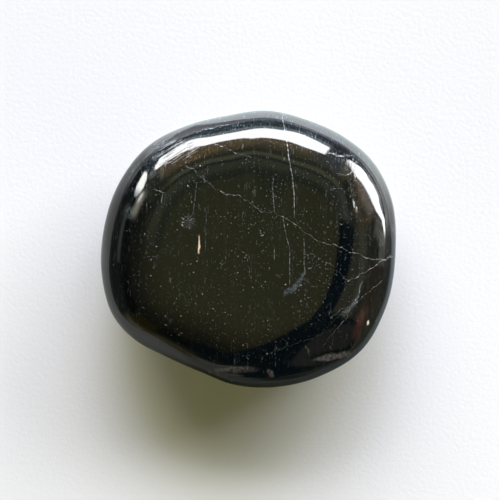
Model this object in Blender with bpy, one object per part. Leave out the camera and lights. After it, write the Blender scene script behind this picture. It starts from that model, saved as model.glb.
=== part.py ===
"""A tumbled and polished hypersthene: one flattish rounded stone that lies on a small flat spot.

X runs along the stone's longest way and Z is up. The origin is on the flat spot, under the middle of
the stone's outline. The form is an oval outline, a rounded shoulder above and below its widest line,
a slightly crowned top and base, and a few broad flats that grinding left on the shoulders.
"""

import math

import bpy
import numpy as np

MM = 0.001

# Driving dimensions, in metres.
LENGTH = 31.5 * MM
WIDTH = 29.6 * MM
THICKNESS = 10.2 * MM
FLAT_SPOT = 9.0 * MM

# How far the outline reaches from the stone's middle, as a share of LENGTH: (degrees round from +X, reach).
OUTLINE = (
    (0, 0.497),
    (20, 0.512),
    (35, 0.515),
    (50, 0.498),
    (65, 0.481),
    (82, 0.474),
    (100, 0.459),
    (115, 0.468),
    (135, 0.489),
    (152, 0.494),
    (170, 0.497),
    (190, 0.507),
    (207, 0.513),
    (220, 0.492),
    (230, 0.466),
    (240, 0.452),
    (250, 0.449),
    (262, 0.462),
    (280, 0.477),
    (300, 0.496),
    (318, 0.514),
    (335, 0.506),
)

# The shoulders are quarter ellipses. Their reach inwards and their rise follow the driving dimensions.
UPPER_REACH = 0.225 * LENGTH
UPPER_RISE = 0.42 * THICKNESS
UPPER_CROWN = 0.035 * THICKNESS
LOWER_REACH = 0.240 * LENGTH
LOWER_RISE = 0.42 * THICKNESS
LOWER_CROWN = 0.125 * THICKNESS

# The widest line rises and falls a little round the stone: (waves round, height, degrees of its peak).
WIDEST_LINE_WAVES = ((1, 0.020 * THICKNESS, 205), (2, 0.025 * THICKNESS, 60))

# Broad flats that grinding left: (degrees round from +X, tilt of its normal from straight up in degrees,
# how deep it was ground as a share of LENGTH, softness of its edge as a share of LENGTH).
GROUND_FLATS = (
    (241, 56, 0.0065, 0.0028),
    (304, 30, 0.0095, 0.0016),
    (12, 24, 0.0040, 0.0040),
    (20, 146, 0.0100, 0.0040),
    (118, 138, 0.0090, 0.0040),
    (262, 145, 0.0120, 0.0040),
)

# Grid: columns round the stone, rows on a shoulder, rows across the top and the base.
COLUMNS = 104
SHOULDER_ROWS = 13
TOP_ROWS = 7
BASE_ROWS = 6

# Across the smallest ring of the top, inside which the faces meet in a point.
TOP_MIDDLE = 0.04 * LENGTH

POLISHED_BLACK = (0.012, 0.012, 0.009, 1.0)
POLISH_ROUGHNESS = 0.08


def clear_scene():
    """Remove whatever the open file holds."""
    for old in list(bpy.data.objects):
        bpy.data.objects.remove(old, do_unlink=True)


def outline_reach(turn):
    """Reach at each angle: a smooth closed curve of cubic pieces through OUTLINE."""
    at = np.radians([point[0] for point in OUTLINE])
    reach = LENGTH * np.array([point[1] for point in OUTLINE])
    at = np.concatenate([at[-2:] - 2 * math.pi, at, at[:3] + 2 * math.pi])
    reach = np.concatenate([reach[-2:], reach, reach[:3]])
    slope = np.gradient(reach, at)
    piece = np.clip(np.searchsorted(at, turn, side="right") - 1, 0, len(at) - 2)
    span = at[piece + 1] - at[piece]
    t = (turn - at[piece]) / span
    start = (1 + 2 * t) * (1 - t) ** 2 * reach[piece] + t * (1 - t) ** 2 * span * slope[piece]
    end = t * t * (3 - 2 * t) * reach[piece + 1] - t * t * (1 - t) * span * slope[piece + 1]
    return start + end


def widest_line(turn):
    """Height of the widest line at each angle, as a sum of long waves."""
    return sum(size * np.cos(waves * (turn - math.radians(peak))) for waves, size, peak in WIDEST_LINE_WAVES)


def half_rows(turn, reach_in, rise, crown, cap_rows, cap_end):
    """Radius and height of one half's rows, from the row next to the widest line to the innermost.

    On the shoulder the radius shrinks by reach_in times one minus a cosine while the height gains rise
    times the sine. Across the cap the radius runs down to cap_end. The crown adds crown times one minus
    the square of the share of the outline's reach.
    """
    outer = outline_reach(turn)[None, :]
    swing = np.radians(90) * np.arange(1, SHOULDER_ROWS + 1)[:, None] / SHOULDER_ROWS
    shoulder_radius = outer - reach_in * (1 - np.cos(swing))
    shoulder_height = rise * np.sin(swing) + 0 * outer
    step = np.arange(1, cap_rows + 1)[:, None] / cap_rows
    cap_radius = (outer - reach_in) * (1 - step) + cap_end * step
    radius = np.concatenate([shoulder_radius, cap_radius])
    height = np.concatenate([shoulder_height, rise + 0 * cap_radius])
    return radius, height + crown * (1 - (radius / outer) ** 2)


def grind(points, turn, tilt, depth, softness):
    """Grind a flat that goes depth below the furthest point: what stands h beyond it shrinks to a soft rest.

    The overshoot h is reduced by softness times ln(1 + e^(h / softness)).
    """
    around = math.radians(turn)
    down = math.radians(tilt)
    normal = np.array([math.sin(down) * math.cos(around), math.sin(down) * math.sin(around), math.cos(down)])
    reach = points @ normal
    beyond = reach - (reach.max() - depth * LENGTH)
    soft = softness * LENGTH
    return points - (soft * np.logaddexp(0, beyond / soft))[..., None] * normal


def stone_points():
    """Rows of points from the flat spot up to the top, as an array of rows, columns and x, y, z."""
    turn = 2 * math.pi * np.arange(COLUMNS) / COLUMNS
    upper = half_rows(turn, UPPER_REACH, UPPER_RISE, UPPER_CROWN, TOP_ROWS, TOP_MIDDLE / 2)
    lower = half_rows(turn, LOWER_REACH, LOWER_RISE, LOWER_CROWN, BASE_ROWS, FLAT_SPOT / 2)
    upper_radius, upper_height = upper
    lower_radius, lower_depth = lower
    radius = np.concatenate([lower_radius[::-1], outline_reach(turn)[None, :], upper_radius])
    height = np.concatenate([-lower_depth[::-1], np.zeros((1, COLUMNS)), upper_height])
    towards_rim = np.clip((radius / outline_reach(turn)) ** 2, 0, 1)
    height = height + widest_line(turn) * towards_rim
    points = np.stack([radius * np.cos(turn), radius * np.sin(turn), height], axis=-1)
    for flat in GROUND_FLATS:
        points = grind(points, *flat)
    spot_height = points[0, :, 2].max()
    points[..., 2] = np.maximum(points[..., 2], spot_height)
    return points


def fit_to_size(points):
    """Stretch the rows by the small factor that makes the driving dimensions exact, and set the origin."""
    low = points.reshape(-1, 3).min(axis=0)
    high = points.reshape(-1, 3).max(axis=0)
    middle = (low + high) / 2
    middle[2] = low[2]
    return (points - middle) * np.array([LENGTH, WIDTH, THICKNESS]) / (high - low)


def stone_mesh(points):
    """Quads between neighbouring rows, with a fan to a middle point on the flat spot and one on the top."""
    rows, columns = points.shape[:2]
    base_middle = points[0].mean(axis=0)
    top_middle = points[-1].mean(axis=0)
    vertices = [*points.reshape(-1, 3).tolist(), base_middle.tolist(), top_middle.tolist()]
    base_index = rows * columns
    faces = []
    for column in range(columns):
        beside = (column + 1) % columns
        for row in range(rows - 1):
            here = row * columns
            above = here + columns
            faces.append((here + column, here + beside, above + beside, above + column))
        faces.append((base_index, beside, column))
        last = (rows - 1) * columns
        faces.append((base_index + 1, last + column, last + beside))
    mesh = bpy.data.meshes.new("stone")
    mesh.from_pydata(vertices, [], faces)
    mesh.shade_smooth()
    return mesh


def polished_stone():
    """Near-black, glossy stone."""
    material = bpy.data.materials.new("polished_stone")
    material.use_nodes = True
    shader = material.node_tree.nodes["Principled BSDF"]
    shader.inputs["Base Color"].default_value = POLISHED_BLACK
    shader.inputs["Roughness"].default_value = POLISH_ROUGHNESS
    shader.inputs["Metallic"].default_value = 0.0
    return material


def main():
    clear_scene()
    mesh = stone_mesh(fit_to_size(stone_points()))
    mesh.materials.append(polished_stone())
    stone = bpy.data.objects.new("stone", mesh)
    bpy.context.scene.collection.objects.link(stone)


main()
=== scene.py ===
"""The look of a tumbled and polished hypersthene, lying on a pale floor and seen from above.

The stone's fine surface is worked out here from the same outline, shoulders and ground flats as the
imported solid, fitted to that solid's box, with the low relief that the solid leaves out. Lengths in
the tables below are millimetres from the stone's middle, +X to the right and +Y up in the view.
"""

import math
from functools import reduce

import bpy
import numpy as np
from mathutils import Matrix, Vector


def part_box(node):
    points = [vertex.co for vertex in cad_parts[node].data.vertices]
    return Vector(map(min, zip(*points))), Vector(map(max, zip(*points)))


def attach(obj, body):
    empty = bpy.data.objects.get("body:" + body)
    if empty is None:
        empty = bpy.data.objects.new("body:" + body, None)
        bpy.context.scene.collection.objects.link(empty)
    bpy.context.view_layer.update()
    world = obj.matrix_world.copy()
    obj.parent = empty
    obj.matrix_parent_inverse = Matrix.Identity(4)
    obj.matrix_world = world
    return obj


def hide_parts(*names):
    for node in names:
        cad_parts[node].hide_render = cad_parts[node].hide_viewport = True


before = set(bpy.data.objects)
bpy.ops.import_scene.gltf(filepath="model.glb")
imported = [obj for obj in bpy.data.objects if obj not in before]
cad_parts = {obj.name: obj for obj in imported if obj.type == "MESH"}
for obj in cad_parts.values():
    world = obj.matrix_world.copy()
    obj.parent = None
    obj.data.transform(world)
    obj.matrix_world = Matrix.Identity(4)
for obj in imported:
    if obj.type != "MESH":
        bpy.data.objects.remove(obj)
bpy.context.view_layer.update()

MM = 0.001
STONE_LOW, STONE_HIGH = (np.array(corner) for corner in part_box("stone"))
LENGTH, WIDTH, THICKNESS = STONE_HIGH - STONE_LOW
FLAT_SPOT = 9.0 * MM

# The stone's form: the outline's reach as a share of LENGTH, by degrees round from +X.
OUTLINE = (
    (0, 0.497), (20, 0.512), (35, 0.515), (50, 0.498), (65, 0.481), (82, 0.474), (100, 0.459),
    (115, 0.468), (135, 0.489), (152, 0.494), (170, 0.497), (190, 0.507), (207, 0.513), (220, 0.492),
    (230, 0.466), (240, 0.452), (250, 0.449), (262, 0.462), (280, 0.477), (300, 0.496), (318, 0.514),
    (335, 0.506),
)
UPPER_SHOULDER = {"reach_in": 0.225 * LENGTH, "rise": 0.42 * THICKNESS, "crown": 0.035 * THICKNESS}
LOWER_SHOULDER = {"reach_in": 0.240 * LENGTH, "rise": 0.42 * THICKNESS, "crown": 0.125 * THICKNESS}
WIDEST_LINE_WAVES = ((1, 0.020 * THICKNESS, 205), (2, 0.025 * THICKNESS, 60))
GROUND_FLATS = (
    (241, 56, 0.0065, 0.0028),
    (304, 30, 0.0095, 0.0016),
    (12, 24, 0.0040, 0.0040),
    (20, 146, 0.0100, 0.0040),
    (118, 138, 0.0090, 0.0040),
    (262, 145, 0.0120, 0.0040),
)

# The fine grid.
COLUMNS = 420
UPPER_SHOULDER_ROWS = 84
TOP_ROWS = 84
LOWER_SHOULDER_ROWS = 36
BASE_ROWS = 10
TOP_MIDDLE = 0.3 * MM

# Low relief of the fine surface fades out towards the flat spot, below this height.
RELIEF_FADE = 0.6 * MM
# Waviness: the number of waves, their lengths and their root mean square slope.
WAVES = 24
WAVE_SEED = 11
WAVE_LENGTHS = (2.0 * MM, 7.0 * MM)
WAVE_SLOPE = 0.006
# Chips on the upper shoulder, in mm: centre x, y, half length, half width, turn in degrees, depth.
CHIPS = (
    (-1.3, -12.75, 2.4, 0.34, 2, 0.09),
    (2.3, -13.1, 0.6, 0.28, -50, 0.07),
    (8.8, -11.4, 2.1, 0.36, 9, 0.08),
)
CORNER_CHIPS = (
    (9.6, 9.6, 1.0, 0.50, 65, 0.014),
    (10.3, 8.4, 0.8, 0.45, 100, 0.014),
    (8.9, 8.3, 0.9, 0.40, 20, 0.012),
)

# Camera: how high it is, how wide its frame and the stone in it are in pixels, and how far the stone's
# middle lies from the frame's middle, in pixels too.
CAMERA_HEIGHT = 220.0 * MM
WIDEST_HEIGHT = 5.3 * MM
SENSOR = 36.0
FRAME_PIXELS = 500
STONE_PIXELS = 295.0
STONE_FROM_MIDDLE = (-1.5, 1.25)

# Cracks that the polish shows, as points (x, y) that each line passes through.
MAIN_CRACK = (
    (-6.6, 8.8), (-5.8, 8.4), (-5.0, 7.5), (-4.4, 7.0), (-3.4, 6.1), (-2.5, 5.8), (-0.9, 5.5), (0.1, 4.9),
    (1.3, 3.9), (2.6, 3.8), (3.7, 3.2), (4.9, 2.5), (5.7, 1.9), (6.9, 1.0), (7.9, 0.6), (9.7, 0.2),
    (10.5, -0.3), (11.6, -0.5), (12.3, -1.0), (13.4, -1.2), (14.3, -1.1), (15.3, -0.6),
)
# Each crack: its points, its width, how pale it is, and the axis that it runs along.
CRACKS = (
    (MAIN_CRACK, 0.050, 0.55, "x"),
    (MAIN_CRACK[-10:], 0.055, 0.90, "x"),
    (((-6.5, 8.1), (-5.6, 6.9), (-4.5, 6.9)), 0.045, 0.40, "x"),
    (((-4.9, 7.7), (-3.5, 6.3)), 0.045, 0.35, "x"),
    (
        ((10.3, -3.4), (11.2, -3.0), (12.1, -2.5), (12.9, -2.0), (14.1, -1.3), (15.3, -0.7)),
        0.055, 0.75, "x",
    ),
    (((5.8, -0.5), (6.9, -0.7), (8.4, -1.5), (9.5, -2.4), (10.3, -3.4)), 0.040, 0.40, "x"),
    (((11.9, -3.3), (11.6, -4.7), (11.0, -5.8), (9.7, -6.4), (8.6, -7.3)), 0.075, 0.85, "y"),
    (((14.1, -3.3), (13.0, -4.3), (10.7, -6.0), (10.4, -7.1), (9.4, -8.2), (7.9, -10.1)), 0.055, 0.60, "y"),
    (((11.0, -5.6), (7.6, -8.9), (5.1, -9.9), (2.3, -10.9), (1.2, -11.4)), 0.045, 0.30, "x"),
    (((-9.9, 6.3), (-9.0, 5.8), (-9.1, 4.9)), 0.055, 0.65, "y"),
    (((-11.0, -0.9), (-9.5, -0.8), (-9.2, -0.1)), 0.045, 0.25, "x"),
    (((8.3, 10.1), (9.3, 9.8), (10.9, 9.9)), 0.080, 0.75, "x"),
    (((9.5, 7.9), (10.2, 7.7), (11.0, 8.1), (11.4, 8.9)), 0.065, 0.75, "x"),
    (((11.0, 9.6), (10.9, 8.6), (11.2, 7.2)), 0.060, 0.45, "y"),
    (((-4.2, 11.4), (-3.2, 10.9), (-2.2, 10.4), (-1.2, 10.0), (0.4, 9.5)), 0.120, 0.26, "x"),
    (((-5.9, 12.3), (-4.2, 12.7), (-2.7, 13.05)), 0.055, 0.55, "x"),
    (((-4.9, 12.6), (-3.4, 12.95), (-1.4, 13.2)), 0.045, 0.40, "x"),
)
# Fine hairs along the grain, as (points, width, how pale).
HAIRS = (
    (((3.6, 13.6), (4.0, 11.5), (4.2, 9.5), (4.6, 7.4), (4.75, 5.8), (4.8, 4.0)), 0.075, 0.85),
    (((2.6, 7.5), (2.5, 6.6), (2.7, 4.0)), 0.055, 0.50),
    (((3.6, 3.1), (4.0, 1.1), (4.3, 0.0), (4.3, -3.6)), 0.065, 0.50),
    (((5.8, 1.2), (5.8, -1.5), (5.9, -2.6)), 0.060, 0.40),
    (((2.7, -0.1), (2.7, -1.3)), 0.050, 0.40),
    (((-5.4, 6.8), (-5.8, 3.6)), 0.055, 0.25),
    (((-4.4, 3.8), (-4.5, -0.1)), 0.050, 0.20),
)
# A milky smear along a healed crack, a crushed seam, and slivers of pale, grey and rust-coloured stone.
SMEAR = ((3.7, -4.7), (4.6, -4.1), (5.3, -3.5), (5.8, -2.6), (5.9, -1.9))
CRUSHED_SEAM = ((9.9, -7.0), (10.6, -6.3), (11.1, -5.6), (11.5, -4.9), (11.8, -4.0))
PALE_SLIVER = ((-5.25, 1.3), (-5.1, 0.6), (-5.15, -0.4))
GREY_SLIVER = ((11.1, 5.1), (11.15, 4.6), (11.3, 4.0))
RUST_SLIVER = ((11.30, -9.5), (11.5, -8.5), (11.75, -7.5), (12.1, -6.4))
# Soft marks: centre (x, y), reach along x and along y.
BRUISE = (-6.3, 2.8, 0.75, 0.65)
# The three bronze marks place the painted bronze glints of the shoulder.
BRONZE_PATCH = (-6.0, 10.4, 2.6, 1.6)
BRONZE_BAND = (-2.5, 10.9, 8.5, 2.6)
BRONZE_RIGHT = (12.2, 5.6, 1.5, 3.6)
GREY_BLOB = (13.9, 1.1, 0.46, 0.85)
SPECKLED_PLACES = ((-3.3, -6.3, 1.6, 2.4), (2.0, 3.6, 2.4, 3.6), (6.6, -3.6, 2.2, 3.6))
GREEN_BLOB = (-12.6, 3.9, 0.45, 0.70)
CRACKLED_CORNER = (10.0, 8.9, 1.4, 1.5)
# A small chip, painted white as a bright highlight.
HIGHLIT_CHIP = (12.65, -7.8, 0.12, 0.28)
BLUE_BLOTCH = (5.9, 10.7, 0.60, 0.34)
PALE_BLOTCH = (-9.1, 8.1, 0.26, 0.85)
SCRATCHED_END = (-8.2, 10.3, 2.6, 1.5)
# How far the scratches there are turned from X, in radians.
SCRATCH_TURN = -0.55


class Value:
    """An output socket whose Python operators each add the Math node that they name."""

    def __init__(self, nodes, socket):
        self.nodes = nodes
        self.socket = socket

    def math(self, operation, *others):
        return self.nodes.make("ShaderNodeMath", {"operation": operation}, [self, *others])

    def __add__(self, other):
        return self.math("ADD", other)

    __radd__ = __add__

    def __mul__(self, other):
        return self.math("MULTIPLY", other)

    __rmul__ = __mul__

    def __sub__(self, other):
        return self.math("SUBTRACT", other)

    def __rsub__(self, other):
        return self.nodes.make("ShaderNodeMath", {"operation": "SUBTRACT"}, [other, self])

    def __truediv__(self, other):
        return self.math("DIVIDE", other)

    def __rtruediv__(self, other):
        return self.nodes.make("ShaderNodeMath", {"operation": "DIVIDE"}, [other, self])

    def __abs__(self):
        return self.math("ABSOLUTE")

    def most(self, other):
        return self.math("MAXIMUM", other)

    def rises(self, low, high):
        """0 below low and 1 above high, with a smooth step between. Low above high gives a fall."""
        ends = (low, high) if low < high else (high, low)
        to = (0.0, 1.0) if low < high else (1.0, 0.0)
        smooth = {"interpolation_type": "SMOOTHSTEP"}
        return self.nodes.make("ShaderNodeMapRange", smooth, [self, *ends, *to])

    def within(self, low, high, soft):
        """1 between low and high, with edges as wide as soft."""
        return self.rises(low - soft / 2, low + soft / 2) * self.rises(high + soft / 2, high - soft / 2)

    def lifted(self, floor):
        """0 becomes floor and 1 stays 1."""
        return floor + (1 - floor) * self


class Nodes:
    """The nodes of one material or of the world."""

    FACTOR, FIRST_COLOUR, SECOND_COLOUR, MIXED_COLOUR = 0, 6, 7, 2

    def __init__(self, tree):
        self.tree = tree

    def make(self, kind, settings=None, sockets=(), output=0):
        """Add a node of this kind, apply its settings, feed its sockets and return one output."""
        node = self.tree.nodes.new(kind)
        for name, value in (settings or {}).items():
            if name == "stops":
                self.set_stops(node.color_ramp, value)
            elif name == "curve":
                self.set_curve(node.mapping, value)
            else:
                setattr(node, name, value)
        pairs = sockets.items() if isinstance(sockets, dict) else enumerate(sockets)
        for name, value in pairs:
            if isinstance(value, Value):
                self.tree.links.new(value.socket, node.inputs[name])
            else:
                node.inputs[name].default_value = value
        return Value(self, node.outputs[output]) if len(node.outputs) else node

    @staticmethod
    def set_stops(ramp, stops):
        while len(ramp.elements) < len(stops):
            ramp.elements.new(0.5)
        for element, (place, colour) in zip(ramp.elements, stops):
            element.position = place
            element.color = (*colour, 1.0)

    @staticmethod
    def set_curve(mapping, points):
        curve = mapping.curves[0]
        while len(curve.points) < len(points):
            curve.points.new(0.5, 0.5)
        for point, place in zip(curve.points, points):
            point.location = place
            point.handle_type = "VECTOR"
        mapping.extend = "HORIZONTAL"
        mapping.update()

    def mix(self, factor, first, second):
        """first where factor is 0 and second where it is 1, as colours."""
        sockets = {self.FACTOR: factor, self.FIRST_COLOUR: first, self.SECOND_COLOUR: second}
        return self.make("ShaderNodeMix", {"data_type": "RGBA"}, sockets, self.MIXED_COLOUR)

    def vector(self, operation, *sockets):
        return self.make("ShaderNodeVectorMath", {"operation": operation}, sockets)

    def parts(self, vector):
        """The x, y and z of a vector."""
        split = self.make("ShaderNodeSeparateXYZ", None, [vector])
        return tuple(Value(self, socket) for socket in split.socket.node.outputs)

    def also(self, value, output):
        """Another output of the node that a value comes from."""
        return Value(self, value.socket.node.outputs[output])

    def follow(self, value, points):
        """The result that runs straight from point to point, given as pairs of value and result."""
        points = np.array(sorted(points), float)
        low = points.min(axis=0)
        span = np.maximum(points.max(axis=0) - low, 0.01)
        share = [tuple(point) for point in (points - low) / span]
        place = (value - float(low[0])) / float(span[0])
        curve = self.make("ShaderNodeFloatCurve", {"curve": share}, {"Value": place})
        return curve * float(span[1]) + float(low[1])

    def noise(self, place, scale, detail=2.0, roughness=0.5):
        sockets = {"Vector": place, "Scale": scale, "Detail": detail, "Roughness": roughness}
        return self.make("ShaderNodeTexNoise", None, sockets)

    def streaks(self, place, stretch, detail=2.0, roughness=0.5):
        """A noise whose grains get narrower along each axis as stretch gets larger."""
        return self.noise(self.vector("MULTIPLY", place, stretch), 1.0, detail, roughness)

    def jagged(self, place, scale, shift):
        """A place shifted by up to about half of shift each way, by a noise."""
        random = self.also(self.noise(place, scale), "Color")
        random = self.vector("SUBTRACT", random, (0.5, 0.5, 0.5))
        shifts = self.vector("MULTIPLY", random, (shift * 2, shift * 2, shift * 2))
        return self.vector("ADD", place, shifts)


def colour(red, green, blue):
    return (red, green, blue, 1.0)


# The stone's surface.


def outline_reach(turn):
    """Reach at each angle: a smooth closed curve of cubic pieces through OUTLINE."""
    at = np.radians([point[0] for point in OUTLINE])
    reach = LENGTH * np.array([point[1] for point in OUTLINE])
    at = np.concatenate([at[-2:] - 2 * math.pi, at, at[:3] + 2 * math.pi])
    reach = np.concatenate([reach[-2:], reach, reach[:3]])
    slope = np.gradient(reach, at)
    piece = np.clip(np.searchsorted(at, turn, side="right") - 1, 0, len(at) - 2)
    span = at[piece + 1] - at[piece]
    t = (turn - at[piece]) / span
    start = (1 + 2 * t) * (1 - t) ** 2 * reach[piece] + t * (1 - t) ** 2 * span * slope[piece]
    end = t * t * (3 - 2 * t) * reach[piece + 1] - t * t * (1 - t) * span * slope[piece + 1]
    return start + end


def widest_line(turn):
    """Height of the widest line at each angle, as a sum of long waves."""
    swells = (
        size * np.cos(waves * (turn - math.radians(peak))) for waves, size, peak in WIDEST_LINE_WAVES
    )
    return sum(swells)


def half_rows(turn, reach_in, rise, crown, shoulder_rows, cap_rows, cap_end):
    """Radius and height of one half's rows, from next to the widest line to the innermost.

    On the shoulder the radius shrinks by reach_in times one minus a cosine while the height gains rise
    times the sine. Across the cap the radius runs down to cap_end. The crown adds crown times one minus
    the square of the share of the outline's reach.
    """
    outer = outline_reach(turn)[None, :]
    swing = np.radians(90) * np.arange(1, shoulder_rows + 1)[:, None] / shoulder_rows
    shoulder_radius = outer - reach_in * (1 - np.cos(swing))
    step = np.arange(1, cap_rows + 1)[:, None] / cap_rows
    cap_radius = (outer - reach_in) * (1 - step) + cap_end * step
    radius = np.concatenate([shoulder_radius, cap_radius])
    height = np.concatenate([rise * np.sin(swing) + 0 * outer, rise + 0 * cap_radius])
    return radius, height + crown * (1 - (radius / outer) ** 2)


def grind(points, turn, tilt, depth, softness):
    """Grind a flat that goes depth below the furthest point: an overshoot h loses softness times
    ln(1 + e^(h / softness)), along the flat's normal."""
    around = math.radians(turn)
    down = math.radians(tilt)
    outwards = math.sin(down)
    normal = np.array([outwards * math.cos(around), outwards * math.sin(around), math.cos(down)])
    reach = points @ normal
    beyond = reach - (reach.max() - depth * LENGTH)
    soft = softness * LENGTH
    return points - (soft * np.logaddexp(0, beyond / soft))[..., None] * normal


def stone_points():
    """Rows of points from the flat spot up to the top: radius and height by row, turned round by column."""
    turn = 2 * math.pi * np.arange(COLUMNS) / COLUMNS
    upper_radius, upper_height = half_rows(
        turn, shoulder_rows=UPPER_SHOULDER_ROWS, cap_rows=TOP_ROWS, cap_end=TOP_MIDDLE, **UPPER_SHOULDER
    )
    lower_radius, lower_depth = half_rows(
        turn, shoulder_rows=LOWER_SHOULDER_ROWS, cap_rows=BASE_ROWS, cap_end=FLAT_SPOT / 2, **LOWER_SHOULDER
    )
    radius = np.concatenate([lower_radius[::-1], outline_reach(turn)[None, :], upper_radius])
    height = np.concatenate([-lower_depth[::-1], np.zeros((1, COLUMNS)), upper_height])
    towards_rim = np.clip((radius / outline_reach(turn)) ** 2, 0, 1)
    height = height + widest_line(turn) * towards_rim
    points = np.stack([radius * np.cos(turn), radius * np.sin(turn), height], axis=-1)
    for flat in GROUND_FLATS:
        points = grind(points, *flat)
    spot_height = points[0, :, 2].max()
    points[..., 2] = np.maximum(points[..., 2], spot_height)
    return points


def fit_to_solid(points):
    """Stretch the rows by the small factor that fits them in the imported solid's box."""
    low = points.reshape(-1, 3).min(axis=0)
    high = points.reshape(-1, 3).max(axis=0)
    return STONE_LOW + (points - low) * (STONE_HIGH - STONE_LOW) / (high - low)


def closed_mesh(name, points):
    """Quads between neighbouring rows of points, closed with a fan to a middle point at each end."""
    rows, columns = points.shape[:2]
    ends = np.stack([points[0].mean(axis=0), points[-1].mean(axis=0)])
    vertices = np.concatenate([points.reshape(-1, 3), ends])
    column = np.arange(columns)
    beside = (column + 1) % columns
    here = (np.arange(rows - 1) * columns)[:, None]
    above = here + columns
    quads = np.stack([here + column, here + beside, above + beside, above + column], axis=-1).reshape(-1, 4)
    last = (rows - 1) * columns
    base_fan = np.stack([np.full(columns, rows * columns), beside, column], axis=-1)
    top_fan = np.stack([np.full(columns, rows * columns + 1), last + column, last + beside], axis=-1)
    mesh = bpy.data.meshes.new(name)
    mesh.from_pydata(vertices, [], [*quads.tolist(), *base_fan.tolist(), *top_fan.tolist()])
    mesh.shade_smooth()
    return mesh


def outward(points):
    """Unit normals of the rows of points, from the cross product of the steps round and up."""
    round_step = np.roll(points, -1, axis=1) - np.roll(points, 1, axis=1)
    up_step = np.gradient(points, axis=0)
    normal = np.cross(round_step, up_step)
    return normal / np.maximum(np.linalg.norm(normal, axis=-1, keepdims=True), 1e-12)


def waviness(points):
    """Height of the polish's slight waviness: a sum of plane waves sin(k p + phase), seeded."""
    random = np.random.default_rng(WAVE_SEED)
    direction = random.normal(size=(WAVES, 3))
    direction /= np.linalg.norm(direction, axis=1, keepdims=True)
    length = random.uniform(*WAVE_LENGTHS, size=WAVES)
    phase = random.uniform(0, 2 * math.pi, size=WAVES)
    waves = np.sin(points @ (direction * (2 * math.pi / length)[:, None]).T + phase)
    return (waves * length).sum(axis=-1) * WAVE_SLOPE / (2 * math.pi * math.sqrt(WAVES / 2))


def dents(points):
    """Depth of the chips: each falls off as e^(-(u / length)^4 - (v / width)^2)."""
    depth = np.zeros(points.shape[:2])
    for x, y, length, width, turn, deep in (*CHIPS, *CORNER_CHIPS):
        along = math.cos(math.radians(turn)), math.sin(math.radians(turn))
        u = (points[..., 0] - x * MM) * along[0] + (points[..., 1] - y * MM) * along[1]
        v = (points[..., 1] - y * MM) * along[0] - (points[..., 0] - x * MM) * along[1]
        bowl = np.exp(-((u / (length * MM)) ** 4) - (v / (width * MM)) ** 2)
        depth += deep * MM * bowl * (points[..., 2] > THICKNESS / 2)
    return depth


def dressed_stone():
    """The stone's fine surface as one closed mesh."""
    points = stone_points()
    low = points.reshape(-1, 3).min(axis=0)
    points = points - [0.0, 0.0, low[2]]
    off_spot = np.clip(points[..., 2] / RELIEF_FADE, 0, 1)
    height = (waviness(points) - dents(points)) * off_spot
    points = points + outward(points) * height[..., None]
    mesh = closed_mesh("polished_hypersthene", fit_to_solid(points))
    stone = bpy.data.objects.new("polished_hypersthene", mesh)
    bpy.context.scene.collection.objects.link(stone)
    return stone


# The stone's finish.

BODY_BLACK = colour(0.0010, 0.0015, 0.0016)
FIBRE_BROWN = colour(0.0075, 0.0070, 0.0045)
CRACK_GREY = colour(0.34, 0.36, 0.37)
CRACK_WHITE = colour(0.60, 0.62, 0.63)
MILKY_BLUE = colour(0.12, 0.15, 0.19)
SCUFF_BLUE = colour(0.12, 0.16, 0.19)
BLOTCH_OLIVE = colour(0.22, 0.23, 0.17)
BLOB_GREEN = colour(0.12, 0.17, 0.15)
BLOB_GREY = colour(0.15, 0.15, 0.14)
# Chips: their paler broken stone together with a painted pinkish highlight.
CHIP_PINK_AND_HIGHLIGHT = colour(0.29, 0.26, 0.40)
# A small chip's painted highlight.
CHIP_HIGHLIGHT_WHITE = colour(0.45, 0.45, 0.43)
# The bronze of the painted glints on the shoulder.
PAINTED_BRONZE_GLINT = colour(0.042, 0.024, 0.009)
PALE_ORANGE = colour(0.80, 0.60, 0.42)
RUST = colour(0.060, 0.024, 0.024)
REFRACTION = 1.68
POLISH = 0.04
CRACK_THINNING = 0.80

# Patterns of specks, in mm: the cell, the largest radius, the share of cells that hold a speck, and a shift
# that sets the pattern apart from the others.
FINEST_SPECKS = (0.16, 0.036, 0.70, (0.0, 0.0, 0.0))
FINE_SPECKS = (0.38, 0.058, 0.65, (7.3, 2.1, 4.4))
COARSE_SPECKS = (1.10, 0.074, 0.42, (3.7, 5.2, 1.4))
DUST = (0.25, 0.070, 0.70, (1.9, 6.1, 2.2))
BRUISE_POINTS = (0.32, 0.11, 0.80, (5.1, 0.7, 2.9))
CLOUDY_SPOTS = (0.9, 0.26, 0.80, (3.1, 9.2, 1.7))


def drawn_line(along, across, points, width, fade=0.02):
    """1 on a line and 0 off it: where the distance from the path through points is under the width.

    The path is followed along one axis, and the distance is taken across it.
    """
    first = min(points)[0]
    last = max(points)[0]
    distance = abs(across - across.nodes.follow(along, points))
    ends = ((along - first) / (last - first)).within(0.0, 1.0, fade)
    return distance.rises(width * 0.85, width * 0.15) * ends


def swapped(points):
    """A path with its x and y swapped, for a line that is followed along Y."""
    return [(y, x) for x, y in points]


def soft_mark(x, y, mark, edge):
    """1 in the middle of an oval mark and 0 outside it."""
    middle_x, middle_y, reach_x, reach_y = mark
    across = (x - middle_x) / reach_x
    along = (y - middle_y) / reach_y
    return (across * across + along * along).rises(1 + edge, 1 - edge)


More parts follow.
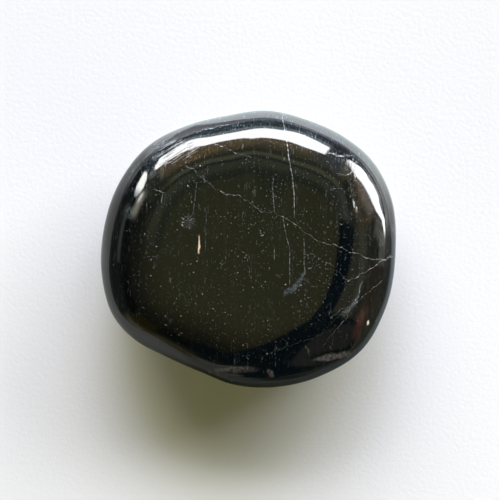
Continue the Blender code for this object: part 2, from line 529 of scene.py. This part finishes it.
class StonePlace:
    """Where a point on the stone is, in mm from its middle, with the marks that can be drawn there."""

    def __init__(self, nodes):
        self.nodes = nodes
        place = nodes.make("ShaderNodeTexCoord", None, (), "Object")
        self.place = nodes.vector("MULTIPLY", place, (1 / MM, 1 / MM, 1 / MM))
        self.x, self.y, self.z = nodes.parts(self.place)
        # 1 above the widest line and 0 below it, for marks that only the upper half has.
        self.upper = self.z.rises(5.4, 6.4)
        # The place that a coarse and a fine noise shift, which makes what is drawn at it jagged.
        self.jag = nodes.jagged(nodes.jagged(self.place, 1.1, 0.30), 6.0, 0.13)
        self.jag_x, self.jag_y, _ = nodes.parts(self.jag)
        # A noise that breaks marks up.
        self.broken = nodes.noise(self.place, 2.3)

    def mark(self, mark, edge=0.5):
        """1 in an oval mark and 0 outside it."""
        return soft_mark(self.x, self.y, mark, edge)

    def jagged_mark(self, mark, edge=0.5):
        """The same with a jagged edge."""
        return soft_mark(self.jag_x, self.jag_y, mark, edge)

    def jagged_line(self, points, width, fade=0.02, axis="x"):
        """1 on a jagged line through points, followed along the axis, and 0 off it."""
        if axis == "x":
            return drawn_line(self.jag_x, self.jag_y, points, width, fade)
        return drawn_line(self.jag_y, self.jag_x, swapped(points), width, fade)


def cracks(stone):
    """Jagged cracks, broken up by two noises."""
    lines = [
        stone.jagged_line(points, width * CRACK_THINNING, axis=axis) * pale
        for points, width, pale, axis in CRACKS
    ]
    whole = stone.broken.rises(0.42, 0.62).lifted(0.25)
    gaps = stone.nodes.noise(stone.place, 5.5).rises(0.42, 0.54).lifted(0.25)
    return reduce(Value.most, lines) * whole * gaps * stone.upper


def hairs(stone):
    """Fine pale hairs along the grain, broken into dots."""
    straight_x = stone.x + 0.10 * (stone.nodes.noise(stone.place, 0.8) - 0.5)
    lines = [
        drawn_line(stone.y, straight_x, swapped(points), width, 0.25) * pale
        for points, width, pale in HAIRS
    ]
    dots = stone.nodes.streaks(stone.place, (2.0, 3.6, 1.0))
    return reduce(Value.most, lines) * dots.rises(0.44, 0.58).lifted(0.15) * stone.upper


def faint_hairs(stone):
    """Long faint hairs, where a noise drawn out along the grain crosses one value, cut into dashes."""
    drawn_out = stone.nodes.streaks(stone.place, (1.5, 0.055, 0.2))
    dashes = stone.nodes.streaks(stone.place, (2.0, 1.3, 1.0), 3.0, 0.7)
    return abs(drawn_out - 0.52).rises(0.010, 0.003) * dashes.rises(0.50, 0.66)


def specks(place, pattern):
    """Round specks of varied size and paleness, one in a cell, in a share of the pattern's cells."""
    cell, radius, share, shift = pattern
    nodes = place.nodes
    place = nodes.vector("ADD", place, shift)
    cells = nodes.make("ShaderNodeTexVoronoi", None, {"Vector": place, "Scale": 1 / cell})
    chance, size, pale = nodes.parts(nodes.also(cells, "Color"))
    reach = (0.45 + 0.55 * size * size) * (radius / cell)
    return (cells / reach).rises(1.0, 0.5) * chance.rises(1 - share, 1 - share + 0.01) * pale.lifted(0.4)


def pale_specks(stone):
    """Specks drawn out a little along the grain, thicker in some places, and a bruise of close points."""
    grain_place = stone.nodes.vector("MULTIPLY", stone.jag, (1.0, 0.85, 1.0))
    patches = stone.nodes.noise(stone.place, 0.35, 3.0).rises(0.42, 0.59)
    speckled = reduce(Value.most, [stone.mark(mark, 0.9) for mark in SPECKLED_PLACES])
    thick = patches.lifted(0.30) * stone.z.rises(8.9, 9.5).lifted(0.35)
    thick = thick.most(speckled * 0.9)
    finest = specks(grain_place, FINEST_SPECKS) * thick
    fine = specks(grain_place, FINE_SPECKS) * thick
    coarse = specks(grain_place, COARSE_SPECKS)
    bruise = stone.jagged_mark(BRUISE, 0.9)
    points = specks(grain_place, BRUISE_POINTS) * bruise * stone.upper
    haze = 0.16 * bruise * stone.nodes.noise(stone.place, 8.5, 4.0, 0.85).rises(0.52, 0.60)
    dust = specks(grain_place, DUST) * bruise.most(speckled * stone.broken.rises(0.46, 0.58))
    dust = dust.most(haze) * stone.upper
    return (finest * 0.75).most(fine * 1.2).most(coarse * 1.4).most(dust * 1.1).most(points * 1.9)


def crackle(stone):
    """A patch of fine crackle on the upper right corner."""
    crackled = stone.nodes.streaks(stone.place, (3.6, 1.1, 1.2), 4.0, 0.8).rises(0.50, 0.66)
    return crackled * stone.jagged_mark(CRACKLED_CORNER, 0.8) * stone.upper


def shoulder_scuffs(stone):
    """Scuffs on the shoulder, where the ends of the fibres come to the surface, and the brightest ends."""
    shoulder = stone.z.within(6.3, 9.15, 0.8) * stone.y.rises(3.5, 9.0).lifted(0.12)
    fibre_ends = stone.nodes.streaks(stone.place, (8.5, 1.4, 1.4), 4.0, 0.85)
    scuffed = stone.nodes.noise(stone.place, 1.4).rises(0.36, 0.58)
    return fibre_ends.rises(0.54, 0.66) * scuffed * shoulder, fibre_ends.rises(0.64, 0.69) * shoulder


def slanted_scratches(stone):
    """Scratches that cross the left end of the shoulder at a slant."""
    turn = {"Vector": stone.place, "Angle": SCRATCH_TURN}
    slanted = stone.nodes.make("ShaderNodeVectorRotate", {"rotation_type": "Z_AXIS"}, turn)
    scratches = stone.nodes.streaks(slanted, (0.45, 6.5, 1.0), 3.0, 0.7).rises(0.54, 0.62)
    return scratches * stone.mark(SCRATCHED_END, 0.7) * stone.upper


def milky_marks(stone):
    """The crumbly milky smear and the crushed seam."""
    crumbs = stone.nodes.noise(stone.place, 7.5, 4.0, 0.85).rises(0.42, 0.62) * stone.upper
    return stone.jagged_line(SMEAR, 0.66) * crumbs, stone.jagged_line(CRUSHED_SEAM, 0.55, 0.3) * crumbs


def slivers(stone):
    """The pale, the grey and the rust-coloured sliver."""
    pale = drawn_line(stone.y, stone.jag_x, swapped(PALE_SLIVER), 0.12, 0.3)
    grey = drawn_line(stone.y, stone.jag_x, swapped(GREY_SLIVER), 0.18, 0.5)
    grey = grey * stone.broken.rises(0.35, 0.55)
    rust = drawn_line(stone.y, stone.x, swapped(RUST_SLIVER), 0.74, 0.5)
    return pale * stone.upper, grey * stone.upper, rust * stone.upper


def painted_bronze_glints(stone):
    """Painted bronze glints in a patch, a band and a strip, near the edge of the top: the stone's bronze
    schiller, painted into the colour only on the band of the shoulder just inside the softbox's highlight.
    """
    bronze = stone.mark(BRONZE_PATCH).most(0.65 * stone.mark(BRONZE_BAND, 0.6))
    bronze = bronze.most(0.6 * stone.mark(BRONZE_RIGHT, 0.6)) * stone.z.within(8.8, 9.55, 0.2)
    glint = stone.nodes.streaks(stone.place, (4.5, 1.6, 1.6), 4.0, 0.75).rises(0.45, 0.66)
    return bronze * glint * stone.upper


def chip_mark(x, y, chip):
    """1 in a chip's oval and 0 outside it."""
    middle_x, middle_y, length, width, turn, _ = chip
    along_x, along_y = math.cos(math.radians(turn)), math.sin(math.radians(turn))
    u = ((x - middle_x) * along_x + (y - middle_y) * along_y) / length
    v = ((y - middle_y) * along_x - (x - middle_x) * along_y) / (width * 1.15)
    return (u * u + v * v).rises(1.35, 0.25)


def chipped_places(stone):
    """The chips' ribbed ovals, whose pale pink is partly a painted highlight, and the ribs by themselves.
    """
    ovals = [chip_mark(stone.jag_x, stone.jag_y, chip) for chip in CHIPS]
    ribs = stone.nodes.streaks(stone.jag, (4.6, 2.2, 1.6), 4.0, 0.7)
    return reduce(Value.most, ovals) * ribs.rises(0.36, 0.68).lifted(0.50) * stone.upper, ribs


def empty_material(name):
    """A new material and its nodes, with none in it yet."""
    material = bpy.data.materials.new(name)
    material.use_nodes = True
    material.node_tree.nodes.clear()
    return material, Nodes(material.node_tree)


def polished_hypersthene():
    """Near-black, fibrous body under a high polish, with pale cracks, hairs, specks, and bronze glints
    painted into the colour.
    """
    material, nodes = empty_material("polished_hypersthene")
    stone = StonePlace(nodes)

    # The grain runs along Y: thin sheets of lighter and darker fibre side by side.
    sheets = nodes.streaks(stone.place, (3.4, 0.14, 0.2), 3.0, 0.65)
    wide_sheets = nodes.streaks(stone.place, (1.1, 0.07, 0.1))
    fibre = sheets.rises(0.47, 0.72) * wide_sheets.rises(0.35, 0.65)

    crack = cracks(stone)
    hair = hairs(stone)
    speck = pale_specks(stone)
    crackled = crackle(stone)
    scuffs, bright_ends = shoulder_scuffs(stone)
    scratches = slanted_scratches(stone)
    smear, seam = milky_marks(stone)
    pale_sliver, grey_sliver, rust_sliver = slivers(stone)
    chipped, ribs = chipped_places(stone)
    patchy = stone.broken.rises(0.4, 0.6)

    # What covers the black body, from the lowest layer to the topmost: how much of it, and its colour.
    layers = (
        (fibre * 0.8, FIBRE_BROWN),
        (scuffs * 0.60, SCUFF_BLUE),
        (bright_ends * 0.55, CRACK_GREY),
        (scratches * 0.25, CRACK_GREY),
        (0.20 * stone.jagged_mark(BLUE_BLOTCH, 0.9) * stone.broken * stone.upper, MILKY_BLUE),
        (0.10 * stone.mark(PALE_BLOTCH, 0.9) * stone.upper, BLOTCH_OLIVE),
        # Painted glint: the bronze schiller, painted into the colour on the band of the shoulder by the
        # softbox's highlight.
        (painted_bronze_glints(stone), PAINTED_BRONZE_GLINT),
        (specks(stone.jag, CLOUDY_SPOTS) * 0.02, CRACK_GREY),
        (stone.jagged_mark(GREEN_BLOB, 0.9) * patchy.lifted(0.3) * stone.upper * 0.20, BLOB_GREEN),
        (stone.jagged_mark(GREY_BLOB, 0.7) * patchy.lifted(0.6) * stone.upper * 0.20, BLOB_GREY),
        (smear * 0.62, MILKY_BLUE),
        (crackled * 0.06, MILKY_BLUE),
        # The chips: paler broken stone, and partly a painted highlight in pinkish white.
        (chipped * 0.21, CHIP_PINK_AND_HIGHLIGHT),
        (rust_sliver * (0.22 + 0.45 * stone.broken), RUST),
        (faint_hairs(stone) * 0.16, CRACK_GREY),
        (seam * 0.60, MILKY_BLUE),
        ((speck * 0.85).most(hair.most(crack) * 0.62), CRACK_WHITE),
        (grey_sliver, CRACK_GREY),
        (pale_sliver, PALE_ORANGE),
        # Painted highlight: a small chip painted white at full cover.
        (stone.jagged_mark(HIGHLIT_CHIP) * stone.upper, CHIP_HIGHLIGHT_WHITE),
    )
    tint = BODY_BLACK
    for cover, tone in layers:
        tint = nodes.mix(cover, tint, tone)

    scuffed = sheets.rises(0.54, 0.70)
    marks = crack.most(hair).most(speck).most(chipped * 0.9)
    rough = POLISH + 0.06 * scuffed * scuffed + 0.35 * marks + 0.04 * crackled + 0.10 * scuffs
    rough = rough + 0.22 * scratches
    height = 0.0015 * sheets - 0.02 * crack - 0.01 * speck - 0.001 * crackled
    height = height - 0.002 * ribs * chipped - 0.006 * scratches
    normal = nodes.make("ShaderNodeBump", None, {"Strength": 1.0, "Distance": MM, "Height": height})
    sockets = {"Base Color": tint, "Roughness": rough, "IOR": REFRACTION, "Normal": normal}
    shader = nodes.make("ShaderNodeBsdfPrincipled", None, sockets)
    nodes.make("ShaderNodeOutputMaterial", None, {"Surface": shader})
    return material


# Floor, light and camera.

FLOOR_HALF = 1.5
FLOOR_WHITE = colour(0.775, 0.782, 0.79)
FLOOR_SHEEN = 0.38
FLOOR_TOOTH = 2300.0
TOOTH_STRENGTH = 0.30
TOOTH_DEPTH = 0.06 * MM
# What the floor shows in the polish, painted into its colour and emission for mirrored rays only: painted
# shade at the left, at the right, on the near side from left to right and past the lit part, and how much
# painted glow it gives on the far side.
MIRRORED_LEFT = colour(0.51, 0.54, 0.52)
MIRRORED_RIGHT = colour(0.58, 0.67, 0.71)
MIRRORED_NEAR = colour(0.165, 0.180, 0.165)
MIRRORED_NEAR_RIGHT = colour(0.15, 0.19, 0.21)
MIRRORED_UNLIT = colour(0.05, 0.055, 0.055)
MIRRORED_GLOW = colour(1.16, 1.42, 1.42)
NO_GLOW = colour(0.0, 0.0, 0.0)
# How far out the floor shows lit in the polish, in mm, by degrees round from +X.
LIT_FLOOR = (
    (-180, 90), (-170, 60), (-150, 90), (-140, 250), (-112, 600), (-98, 600), (-88, 60), (-75, 38),
    (-60, 38), (-40, 31), (-18, 27), (-7, 28), (0, 29), (4, 35), (15, 40), (30, 55), (45, 70), (62, 80),
    (80, 65), (97, 58), (101, 40), (106, 32), (111, 25), (118, 29), (130, 50), (136, 60), (144, 48),
    (152, 60), (162, 110), (174, 130), (180, 90),
)


def floor_finish():
    """Pale, with a fine tooth. In the polish it carries painted light: a painted glow towards the softbox
    and painted shade on the near side.
    """
    material, nodes = empty_material("floor")
    place = nodes.make("ShaderNodeTexCoord", None, (), "Object")
    x, y, _ = nodes.parts(place)
    around = y.math("ARCTAN2", x) * math.degrees(1)
    from_middle = (x * x + y * y).math("SQRT") / MM
    # For mirrored rays the colour takes painted shade and the emission a painted glow; other rays see the
    # plain pale floor.
    mirrored = nodes.make("ShaderNodeLightPath", None, (), "Is Glossy Ray")
    left = around.within(140, 181, 30).most(around.within(-181, -130, 30))
    dim = nodes.mix(left, FLOOR_WHITE, MIRRORED_LEFT)
    dim = nodes.mix(around.within(-50, 6, 20), dim, MIRRORED_RIGHT)
    near = nodes.mix(around.within(-70, 20, 20), MIRRORED_NEAR, MIRRORED_NEAR_RIGHT)
    dim = nodes.mix(around.within(-130, -20, 60), dim, near)
    lit = (nodes.follow(around, LIT_FLOOR) - from_middle).rises(-4, 4)
    dim = nodes.mix(lit, MIRRORED_UNLIT, dim)
    white = nodes.mix(mirrored, FLOOR_WHITE, dim)
    # Painted glow on the far side, for mirrored rays only.
    glow = nodes.mix(mirrored * around.within(24, 126, 30) * lit, NO_GLOW, MIRRORED_GLOW)
    tooth = nodes.noise(place, FLOOR_TOOTH, 4.0, 0.65)
    bump = {"Strength": TOOTH_STRENGTH, "Distance": TOOTH_DEPTH, "Height": tooth}
    normal = nodes.make("ShaderNodeBump", None, bump)
    sockets = {
        "Base Color": white,
        "Roughness": FLOOR_SHEEN,
        "Emission Color": glow,
        "Emission Strength": 1.0,
        "Normal": normal,
    }
    shader = nodes.make("ShaderNodeBsdfPrincipled", None, sockets)
    nodes.make("ShaderNodeOutputMaterial", None, {"Surface": shader})
    return material


def pale_floor():
    """A broad, plain floor as one square."""
    mesh = bpy.data.meshes.new("floor")
    low, high = -FLOOR_HALF, FLOOR_HALF
    corners = [(low, low, 0.0), (high, low, 0.0), (high, high, 0.0), (low, high, 0.0)]
    mesh.from_pydata(corners, [], [(0, 1, 2, 3)])
    mesh.materials.append(floor_finish())
    floor = bpy.data.objects.new("floor", mesh)
    bpy.context.scene.collection.objects.link(floor)


# Edges in the mirrored light: elevation by degrees round from +X.
BROAD_LOW = (
    (58, 19), (64, 19), (70, 17.5), (78, 22.5), (84, 23), (99, 21.5), (105, 21), (109, 17.5), (113, 13),
    (117, 16), (123, 18.5), (130, 18), (134, 21), (137, 25),
)
BROAD_TOP = (
    (58, 36), (64, 37.5), (70, 39), (78, 40), (84, 40), (93, 39), (99, 38), (102.5, 34.5), (109, 33),
    (112, 30.5), (117, 30), (123, 31), (130, 30.5), (134, 30), (137, 29),
)
SMALL_LOW = (
    (-2, -1), (2, 3), (5, 3), (8, 8), (11, 13), (15, 15), (17, 11), (22, 12), (25, 15), (30, 12), (37, 11),
    (48, 17),
)
SMALL_TOP = (
    (-2, 4), (1, 8), (5, 14), (8, 22), (11, 28), (17, 32), (30, 33.5), (40, 33), (45, 29), (48.5, 24),
)
SLIM_LOW = ((141.5, 13), (144, 15), (148, 17), (150, 19), (153, 23))
SLIM_TOP = ((141.5, 20), (144, 26), (147, 29.5), (150, 29.5), (153, 27))
BOARD_EDGE = (
    (44, 57.5), (52, 59), (60, 60.6), (68, 61.8), (76, 62.3), (84, 61.8), (92, 60.4), (100, 58.6),
    (108, 57.4), (118, 57.2), (128, 56.2), (138, 55), (146, 54),
)
LEAF_TOP = ((-34, 62), (-20, 61.5), (-10, 59.5), (-5, 56), (0, 52), (8, 49))
# The flag's top edge is an arch: where its middle is, its highest elevation and how fast it falls.
FLAG_MIDDLE, FLAG_TOP, FLAG_FALL = -28, 77, 0.0052
# Stripes on the far boards are counted from their arched edge, which stands at this many degrees.
ARCHED_EDGE = 60

# Stripes of colour, each from its elevation to the next. The overhead card is dim olive and falls to dark
# at the sides.
OVERHEAD_CARD = (
    (0, (0.060, 0.070, 0.065)),
    (11, (0.045, 0.060, 0.055)),
    (20, (0.055, 0.070, 0.060)),
    (26, (0.012, 0.016, 0.014)),
    (35, (0.012, 0.016, 0.014)),
    (42, (0.060, 0.055, 0.040)),
    (50, (0.072, 0.074, 0.045)),
    (60, (0.150, 0.145, 0.070)),
    (72, (0.215, 0.200, 0.095)),
    (86, (0.268, 0.270, 0.128)),
)
# The warm boards over the softbox, with a light edge where they end under the overhead card.
FAR_BOARDS = (
    (36, (0.85, 0.74, 0.50)),
    (43, (0.80, 0.68, 0.42)),
    (48, (0.52, 0.48, 0.25)),
    (51.5, (0.42, 0.39, 0.23)),
    (54, (0.24, 0.24, 0.14)),
    (57, (0.24, 0.25, 0.14)),
    (59, (0.60, 0.62, 0.37)),
    (62, (0.56, 0.58, 0.35)),
    (63.8, (0.16, 0.17, 0.11)),
    (65.8, (0.17, 0.18, 0.13)),
    (67.5, (0.34, 0.36, 0.22)),
    (73, (0.34, 0.35, 0.21)),
    (78, (0.18, 0.21, 0.14)),
    (83, (0.15, 0.18, 0.10)),
    (88, (0.268, 0.270, 0.128)),
)
# The boards at the right, over the small panel: a warm face, a light edge and a dark gap.
RIGHT_BOARDS = (
    (27, (0.30, 0.24, 0.15)),
    (36, (0.80, 0.64, 0.48)),
    (38.8, (0.33, 0.29, 0.18)),
    (40.2, (0.24, 0.23, 0.13)),
    (41.8, (0.46, 0.46, 0.34)),
    (43.4, (0.44, 0.45, 0.34)),
    (45, (0.13, 0.14, 0.09)),
    (49.5, (0.11, 0.12, 0.08)),
    (53, (0.34, 0.36, 0.29)),
    (59, (0.40, 0.42, 0.34)),
    (63, (0.27, 0.29, 0.23)),
    (72, (0.22, 0.23, 0.17)),
    (77, (0.32, 0.33, 0.26)),
    (82, (0.16, 0.17, 0.11)),
)
# The dim card in the flag's gap, with a lighter stripe and dark lower down.
LEAF_CARD = (
    (20, (0.24, 0.25, 0.19)),
    (28, (0.11, 0.11, 0.07)),
    (36, (0.17, 0.18, 0.12)),
    (41, (0.40, 0.40, 0.27)),
    (45, (0.38, 0.39, 0.26)),
    (48, (0.24, 0.24, 0.16)),
    (58, (0.25, 0.25, 0.16)),
)

# Cards with soft edges: azimuths from and to and their softness, elevations from and to and their softness,
# how much the card covers, and its colour.
FAR_CARDS = (
    # Orange at the left end of the boards and cool grey at their right end.
    ((104, 141, 6), (30, 47, 8), 0.65, (0.82, 0.56, 0.26)),
    ((46, 63, 7), (22, 50, 8), 0.80, (0.32, 0.38, 0.42)),
)
RIGHT_CARDS = (
    # A bright strip over the small panel, and pale grey low down.
    ((11.5, 24, 4), (29, 37, 5), 1.0, (1.45, 1.25, 1.08)),
    ((5, 52, 4), (-20, 10, 5), 1.0, (0.65, 0.70, 0.74)),
)
NEAR_CARDS = (
    # Russet in the flag's gap, with two pale cards at its right end.
    ((-31, -4, 5), (-25, 31, 5), 1.0, (0.20, 0.155, 0.105)),
    ((-6, 0, 3), (-8, 16, 6), 1.0, (0.66, 0.65, 0.58)),
    ((1, 9, 4), (10, 30, 6), 0.85, (0.95, 0.90, 0.82)),
    # Grey in the flag's near side and low down.
    ((-70, -40, 12), (22, 31, 6), 1.0, (0.12, 0.122, 0.120)),
    ((-62, -33, 6), (-20, 8, 5), 1.0, (0.14, 0.16, 0.15)),
    # Low warm cards at the near left, and a brown glow over them.
    ((-146, -124, 12), (-8, 15, 4), 1.0, (0.46, 0.39, 0.26)),
    ((-128, -113, 6), (-12, 16, 8), 1.0, (0.24, 0.20, 0.10)),
    ((-113, -98, 4), (-12, 11, 4), 1.0, (0.36, 0.34, 0.28)),
    ((-144, -122, 8), (10, 36, 9), 0.80, (0.12, 0.095, 0.028)),
)
LEFT_CARDS = (
    # A pale card at the left, and dim light beside the slim panel.
    ((158, 180, 8), (17.5, 24, 3), 1.0, (0.30, 0.36, 0.33)),
    ((137, 152, 6), (30, 54, 4), 1.0, (0.20, 0.21, 0.14)),
    ((136, 146, 5), (53.5, 56.5, 2), 1.0, (0.38, 0.39, 0.15)),
    ((137, 143, 3), (24, 33, 4), 1.0, (0.95, 1.0, 0.95)),
)
SLIM_CARDS = (
    # A warm glow beside the slim panel, and a short bright strip in it.
    ((149, 161, 6), (31, 40, 8), 1.0, (2.3, 2.2, 1.8)),
    ((149.5, 154, 3.5), (32.5, 36, 4), 1.0, (9.0, 8.9, 8.1)),
)
# What shows under the softbox: its colour at the right and at the left, and the left one's share.
UNDER_RIGHT = colour(0.16, 0.19, 0.22)
UNDER_LEFT = colour(0.26, 0.42, 0.46)
UNDER_LEFT_SHARE = ((50, 0.0), (95, 1.0), (112, 1.0), (138, 0.6))
FLAG_BLACK = colour(0.008, 0.028, 0.045)
# The softbox's panels, and the dim lower edges of the broad and the small one.
PANEL_WHITE = colour(15.0, 15.2, 15.3)
SLIM_PANEL_WHITE = colour(14.0, 14.2, 13.6)
BROAD_PANEL_EDGE = colour(1.7, 1.95, 2.1)
SMALL_PANEL_EDGE = colour(2.6, 2.65, 2.75)

# What lights rough surfaces, as cards.
FAINT_LIGHT = colour(0.04, 0.035, 0.015)
SOFT_LIGHTS = (
    ((-70, -10, 20), (-2, 9, 4), 1.0, (17.0, 15.5, 7.0)),
    ((-165, -120, 20), (-2, 10, 4), 1.0, (8.5, 9.0, 4.5)),
    ((46, 114, 10), (-2, 9, 4), 1.0, (27.0, 27.0, 38.5)),
    ((24, 62, 8), (10, 28, 6), 1.0, (15.8, 15.9, 15.4)),
    ((58, 84, 8), (22, 36, 6), 1.0, (15.2, 15.4, 17.2)),
    ((108, 128, 8), (16, 34, 6), 1.0, (11.0, 11.0, 7.5)),
    ((80, 110, 8), (18, 36, 6), 1.0, (19.9, 19.8, 22.6)),
)
BACKDROP = colour(0.93, 0.94, 0.95)


def stripes(angle, stops):
    """Colour that runs from stop to stop of an angle in degrees, from 0 to 90."""
    shares = [(at / 90, tone) for at, tone in stops]
    return angle.nodes.make("ShaderNodeValToRGB", {"stops": shares}, {"Fac": angle / 90})


def with_cards(light, around, above, cards):
    """The light with each card laid over it in turn."""
    for (az_from, az_to, az_soft), (low, high, soft), cover, tone in cards:
        card = around.within(az_from, az_to, az_soft) * above.within(low, high, soft)
        light = around.nodes.mix(card * cover, light, colour(*tone))
    return light


def with_far_side(light, around, above):
    """The light with the far boards, the boards at the right and what shows under the softbox."""
    nodes = around.nodes
    arched = above - nodes.follow(around, BOARD_EDGE) + ARCHED_EDGE
    high_boards = around.within(100, 164, 12) * arched.rises(62, 66)
    boards = above.rises(19, 23) * arched.rises(89, 82) * around.within(24, 140, 9).most(high_boards)
    light = nodes.mix(boards, light, stripes(arched, FAR_BOARDS))
    light = with_cards(light, around, above, FAR_CARDS)
    right_boards = around.within(6, 33, 8) * above.within(26, 74, 5)
    light = nodes.mix(right_boards, light, stripes(above, RIGHT_BOARDS))
    under = nodes.mix(nodes.follow(around, UNDER_LEFT_SHARE), UNDER_RIGHT, UNDER_LEFT)
    light = nodes.mix(above.within(-20, 18, 5) * around.within(50, 140, 8), light, under)
    return with_cards(light, around, above, RIGHT_CARDS)


def with_near_side(light, around, above):
    """The light with the dark flag on the near side, the leaf card in its gap and dim cards round it."""
    nodes = around.nodes
    from_flag = around - FLAG_MIDDLE
    flag_top = FLAG_TOP - from_flag * from_flag * FLAG_FALL
    flag = (flag_top - above).rises(-1.2, 1.2) * around.within(-112, 7, 6)
    light = nodes.mix(flag, light, FLAG_BLACK)
    leaf = (nodes.follow(around, LEAF_TOP) - above).rises(-1.2, 1.2) * above.rises(19, 22)
    # The leaf card lacks its lower left corner.
    leaf = leaf * (above - 33).most(around + 26).rises(-3, 3) * around.within(-31, 7, 4)
    light = nodes.mix(leaf, light, stripes(above, LEAF_CARD))
    light = with_cards(light, around, above, NEAR_CARDS)
    return with_cards(light, around, above, LEFT_CARDS)


def with_softbox(light, around, above):
    """The light with the softbox: a broad panel, a small one at the right and a slim one at the left."""
    nodes = around.nodes
    broad_low = nodes.follow(around, BROAD_LOW)
    edge = (above - broad_low).within(-6.5, 1, 3) * around.within(58, 118, 6)
    light = nodes.mix(edge * 0.9, light, BROAD_PANEL_EDGE)
    broad = (nodes.follow(around, BROAD_TOP) - above).rises(-0.8, 0.8) * (above - broad_low).rises(-1, 1)
    broad = broad * around.within(58.5, 137, 1.5)
    small_low = nodes.follow(around, SMALL_LOW)
    edge = (above - small_low).within(-8, 1, 3) * around.within(12, 30, 6)
    light = nodes.mix(edge * 0.9, light, SMALL_PANEL_EDGE)
    small = (nodes.follow(around, SMALL_TOP) - above).rises(-1, 1) * (above - small_low).rises(-1, 1)
    small = small * around.rises(-2.5, 1.0) * around.rises(49.25, 47.75)
    light = nodes.mix(broad.most(small), light, PANEL_WHITE)
    slim = (nodes.follow(around, SLIM_TOP) - above).rises(-2, 1)
    slim = slim * (above - nodes.follow(around, SLIM_LOW)).rises(-2, 2)
    slim = slim * around.within(141.5, 152.5, 1.5) * around.rises(151.5, 147.5).lifted(0.35)
    light = nodes.mix(slim, light, SLIM_PANEL_WHITE)
    return with_cards(light, around, above, SLIM_CARDS)


def mirrored_light(around, above):
    """What the polish mirrors, by direction: boards, dim cards, a dark flag and softbox panels."""
    light = stripes(above, OVERHEAD_CARD)
    light = with_far_side(light, around, above)
    light = with_near_side(light, around, above)
    return with_softbox(light, around, above)


def soft_light(around, above):
    """A broad, far softbox in several panels, a low glow under it and faint light from the near side."""
    return with_cards(FAINT_LIGHT, around, above, SOFT_LIGHTS)


def studio_light():
    """Light by direction, with one pattern for mirrored rays and a plain one for the rest."""
    world = bpy.data.worlds.new("studio_light")
    bpy.context.scene.world = world
    world.use_nodes = True
    world.node_tree.nodes.clear()
    nodes = Nodes(world.node_tree)
    x, y, z = nodes.parts(nodes.make("ShaderNodeTexCoord", None, (), "Generated"))
    around = y.math("ARCTAN2", x) * math.degrees(1)
    above = z.math("ARCSINE") * math.degrees(1)
    mirrored = nodes.make("ShaderNodeLightPath", None, (), "Is Glossy Ray")
    light = nodes.mix(mirrored, soft_light(around, above), mirrored_light(around, above))
    # Past the floor the camera itself sees a plain pale backdrop.
    seen = nodes.make("ShaderNodeLightPath", None, (), "Is Camera Ray")
    light = nodes.mix(seen, light, BACKDROP)
    shader = nodes.make("ShaderNodeBackground", None, {"Color": light, "Strength": 1.0})
    nodes.make("ShaderNodeOutputWorld", None, {"Surface": shader})
    world.cycles.sampling_method = "MANUAL"
    world.cycles.sample_map_resolution = 1024


def overhead_camera():
    """A camera straight above, framed so that the stone stands in the frame as in the view."""
    data = bpy.data.cameras.new("camera")
    frame_across = FRAME_PIXELS / STONE_PIXELS * LENGTH
    data.sensor_width = SENSOR
    data.lens = SENSOR * (CAMERA_HEIGHT - WIDEST_HEIGHT) / frame_across
    data.shift_x = -STONE_FROM_MIDDLE[0] / FRAME_PIXELS
    data.shift_y = -STONE_FROM_MIDDLE[1] / FRAME_PIXELS
    data.clip_start = 0.01
    camera = bpy.data.objects.new("camera", data)
    camera.location = (0.0, 0.0, CAMERA_HEIGHT)
    bpy.context.scene.collection.objects.link(camera)
    bpy.context.scene.camera = camera


stone = dressed_stone()
stone.data.materials.append(polished_hypersthene())
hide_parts("stone")
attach(stone, "root")

pale_floor()
studio_light()
overhead_camera()
bpy.context.scene.view_settings.view_transform = "Standard"
